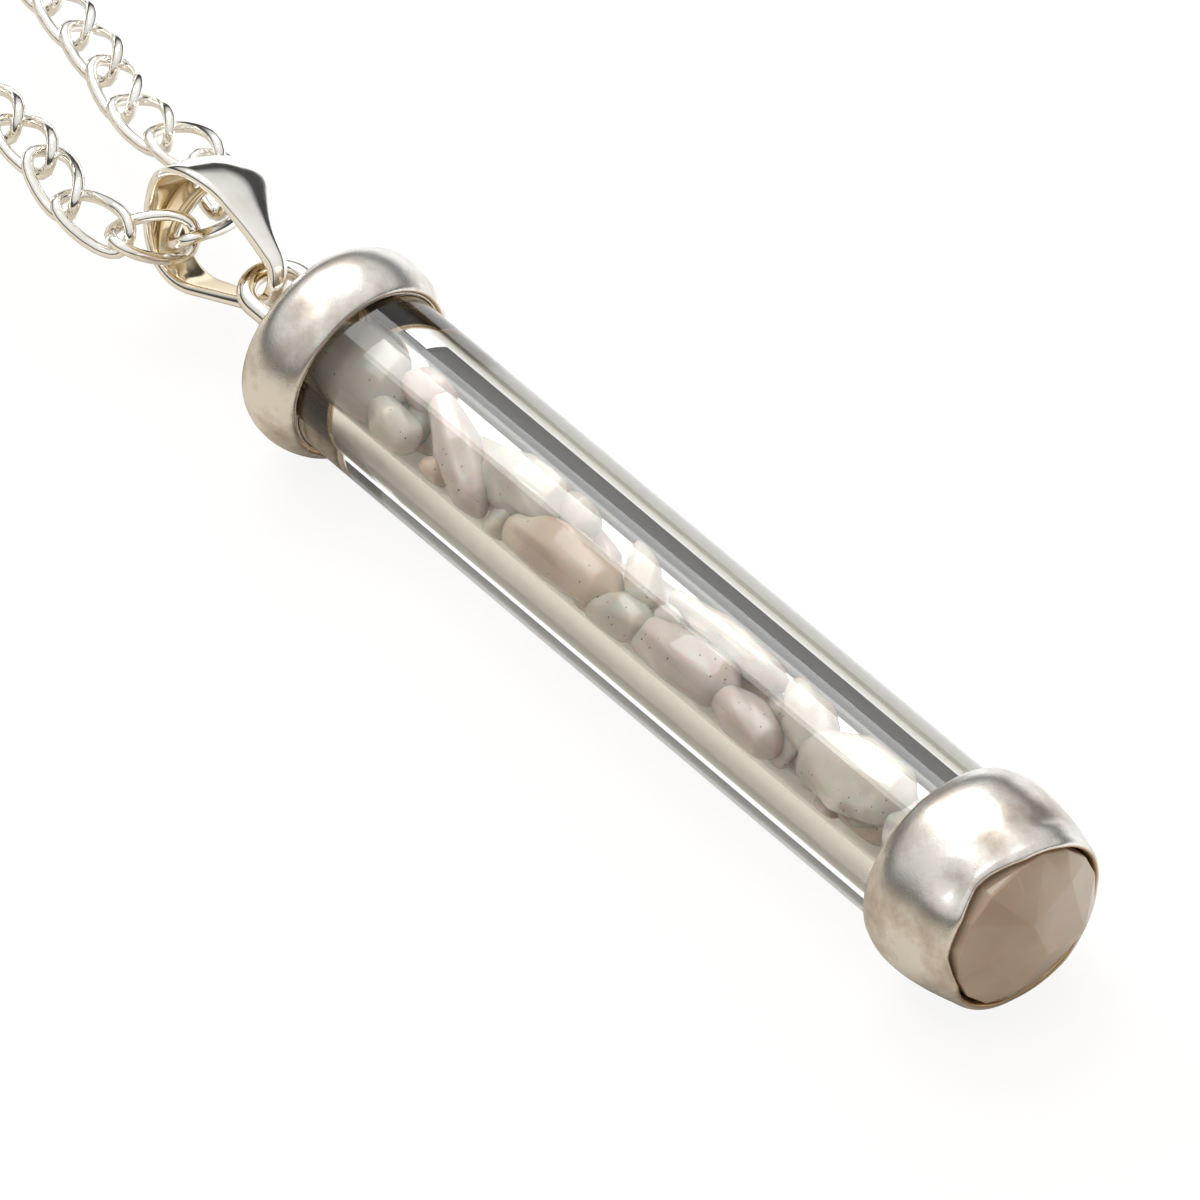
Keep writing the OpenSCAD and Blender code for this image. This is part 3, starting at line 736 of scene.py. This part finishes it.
# The width table counts the construction model's 26 steps, so the stations are matched to them.
turning_points = np.cumsum([0, TIP_STEPS - 1, LEG_STEPS + 1, ROUND_STEPS - 1, LEG_STEPS + 1, TIP_STEPS - 1])
CAD_PLACES = np.interp(np.arange(len(stations)), turning_points, np.array([0, 3, 6, 20, 23, 26]) / 26)
bail_rings = []
for place, (s, above, face) in zip(CAD_PLACES, stations):
    over = STRAP_SECTION[:, 0] * np.interp(place, *zip(*STRAP_WIDTHS))
    out = STRAP_SECTION[:, 1] * BAIL_WALL
    flat_up, flat_at = above + out * math.sin(face), s + out * math.cos(face) - TIP_AT
    lean_up = flat_up * math.cos(BAIL_TILT) - flat_at * math.sin(BAIL_TILT)
    bail_rings.append(on_pendant(RING_X + over * math.cos(BAIL_LEAN) + lean_up * math.sin(BAIL_LEAN),
                                 -over * math.sin(BAIL_LEAN) + lean_up * math.cos(BAIL_LEAN),
                                 TIP_AT + flat_at * math.cos(BAIL_TILT) + flat_up * math.sin(BAIL_TILT)))
bail = skin("bail_strap", bail_rings, strap_silver, "bail_silver", "bail")

# %% [markdown]
# A curb link is an oval of round wire, twisted so that its ends stand square to each other and
# the chain lies flat. Each link of the construction model gives its middle and its direction,
# and a finely rounded link is drawn there. Links on a curve with a modifier would drift off.

# %% One link
LINK_A, LINK_B, LINK_ROUND, LINK_WIRE = 1.87, 1.0, 0.62, 0.55
LINK_TWIST = math.radians(45)
LINK_STEPS, WIRE_STEPS = 30, 10


def fuller(v):
    """A sine or cosine pushed outwards, which squares an oval a little."""
    return np.sign(v) * np.abs(v) ** LINK_ROUND


link_turn = (np.arange(LINK_STEPS) + 0.5) / LINK_STEPS * 2 * math.pi
link_x, link_y = LINK_A * fuller(np.cos(link_turn)), LINK_B * fuller(np.sin(link_turn))
twist = LINK_TWIST * link_x / LINK_A
link_line = np.stack([link_x, link_y * np.cos(twist), link_y * np.sin(twist)], axis=1)
# Evens out the steps along the wire
closed = np.vstack([link_line, link_line[:1]])
reach = np.append(0, np.cumsum(np.linalg.norm(np.diff(closed, axis=0), axis=1)))
even = np.linspace(0, reach[-1], LINK_STEPS + 1)[:-1]
link_line = np.stack([np.interp(even, reach, closed[:, k]) for k in range(3)], axis=1)
one_link = wire_loop(link_line, LINK_WIRE, WIRE_STEPS) * MM
print("one link:", round(reach[-1], 2), "mm of wire")

# %% [markdown]
# A strand of the construction model is one mesh of many loose links. They are told apart by the
# edges that join their points. A link is longest along the chain and next across it, so the
# spread of its points says how it is turned.

# %% Chain
def loose_parts(mesh):
    """The vertices of each loose part of a mesh, as arrays."""
    owner = list(range(len(mesh.vertices)))

    def head(v):
        while owner[v] != v:
            owner[v] = owner[owner[v]]
            v = owner[v]
        return v

    same = {}
    for v in mesh.vertices:
        same.setdefault(tuple(round(c, 7) for c in v.co), []).append(v.index)
    for group_of in same.values():
        for v in group_of[1:]:
            owner[head(v)] = head(group_of[0])
    for e in mesh.edges:
        owner[head(e.vertices[0])] = head(e.vertices[1])
    parts = {}
    for v in mesh.vertices:
        parts.setdefault(head(v.index), []).append(tuple(v.co))
    return [np.unique(np.round(np.array(p), 7), axis=0) for p in parts.values()]


def chain(name, cad_name):
    """A strand of finely rounded links, each lying where its link of the construction model is."""
    points, faces = [], []
    shells = loose_parts(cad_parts[cad_name].data)
    for shell in shells:
        centre = shell.mean(axis=0)
        long_way, wide_way = np.linalg.svd(shell - centre, full_matrices=False)[2][:2]
        turn = np.stack([long_way, wide_way, np.cross(long_way, wide_way)])
        faces += ring_faces(LINK_STEPS, WIRE_STEPS, first=len(points))
        points.extend(map(tuple, centre + one_link.reshape(-1, 3) @ turn))
    print(name, "is made of", len(shells), "links")
    return from_points(name, points, faces, bright_silver, "chain_silver", cad_name)


near_strand = chain("chain_near_links", "chain_near")
far_strand = chain("chain_far_links", "chain_far")

# %% [markdown]
# The clasp is a plain barrel. Its construction model already has the right form, so it stays,
# and only takes the chain's finish.

# %% Clasp
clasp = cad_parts["clasp"]
clasp.data.materials.clear()
clasp.data.materials.append(bright_silver)
print("clasp:", len(clasp.data.polygons), "faces, with the chain's finish")

# %% [markdown]
# A tumbled chip has broad flats with worn corners. Each chip of the construction model gives the
# form. It is grown until the chips press into each other, held back at the glass, and rounded by
# a bevel and a subdivision. Chips made from noise alone would have no flats.

# %% Chips
CHIP_GROWTH, CHIP_REACH = 1.4, 2.07 * MM
CHIP_CORNERS, SAME_POINT, SAME_FLAT = 0.16 * MM, 0.002 * MM, math.radians(9)
CHIP_LOOKS = [0, 1, 0, 1, 2, 0, 0, 0, 2, 1, 0, 0, 1, 1, 0, 2, 1, 0, 1, 0, 2, 0]
for number, look in enumerate(CHIP_LOOKS, 1):
    cad_name = f"chip_{number:02d}"
    work = bmesh.new()
    work.from_mesh(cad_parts[cad_name].data)
    bmesh.ops.remove_doubles(work, verts=work.verts, dist=SAME_POINT)
    bmesh.ops.dissolve_limit(work, angle_limit=SAME_FLAT, verts=work.verts, edges=work.edges)
    middle = sum((v.co for v in work.verts), Vector()) / len(work.verts)
    for v in work.verts:
        grown = middle + CHIP_GROWTH * (v.co - middle)
        off = Vector((grown.x - axis_x, 0, grown.z - axis_z))
        if off.length > CHIP_REACH:
            grown -= off * (1 - CHIP_REACH / off.length)
        v.co = grown
    chip_mesh = bpy.data.meshes.new("stone_" + cad_name)
    work.to_mesh(chip_mesh)
    work.free()
    chip = finish_piece("stone_" + cad_name, chip_mesh, chip_looks[look], "chip_stone", cad_name)
    worn = chip.modifiers.new("worn_corners", "BEVEL")
    worn.width, worn.segments, worn.limit_method = CHIP_CORNERS, 2, "NONE"
    softer = chip.modifiers.new("softer", "SUBSURF")
    softer.levels = softer.render_levels = 2
print(len(CHIP_LOOKS), "chips in", len(chip_looks), "finishes")

# %% [markdown]
# Between the big chips the bore holds small ones, which the construction model leaves out. Each
# is a small ball, flattened and dented by noise. Copies of one would show as a pattern.

# %% Small chips between the others
SMALL_CHIPS, SMALL_FROM, SMALL_SPAN, SMALL_REACH = 34, 0.6, 37.2, 2.05
# Mean and spread: of the place across and towards the view, and of the three half sizes
SMALL_PLACE, SMALL_SIZE = [(-0.35, 1.9), (-0.25, 1.3)], [(0.75, 0.4), (0.6, 0.3), (0.95, 0.7)]
DENT_DEPTH, DENT_SIZE, MOST_TURN = 0.35, 0.9, 2.5
for number in range(SMALL_CHIPS):
    shake = [noise.noise(Vector((number * 3.7, k * 5.3, 0.5))) for k in range(6)]
    across, towards = (mean + spread * s for (mean, spread), s in zip(SMALL_PLACE, shake))
    size = np.array([mean + spread * s for (mean, spread), s in zip(SMALL_SIZE, shake[2:])])
    w, turn = SMALL_FROM + SMALL_SPAN * number / (SMALL_CHIPS - 1), MOST_TURN * shake[5]
    work = bmesh.new()
    bmesh.ops.create_icosphere(work, subdivisions=3, radius=1.0)
    for v in work.verts:
        dent = 1 + DENT_DEPTH * noise.noise(v.co * DENT_SIZE + Vector((number * 2.1, 0, 0)))
        x, y, z = np.array(v.co) * dent * size
        x, z = x * math.cos(turn) - z * math.sin(turn), x * math.sin(turn) + z * math.cos(turn)
        x, y = across + x, towards + y
        inward = min(1, SMALL_REACH / max(1e-6, math.hypot(x, y)))
        v.co = Vector(facing_view(x * inward, y * inward, w + z))
    small_name = f"small_chip_{number + 1:02d}"
    small_mesh = bpy.data.meshes.new(small_name)
    work.to_mesh(small_mesh)
    work.free()
    finish_piece(small_name, small_mesh, chip_looks[number % len(chip_looks)], "chip_stone")
print(SMALL_CHIPS, "small chips")
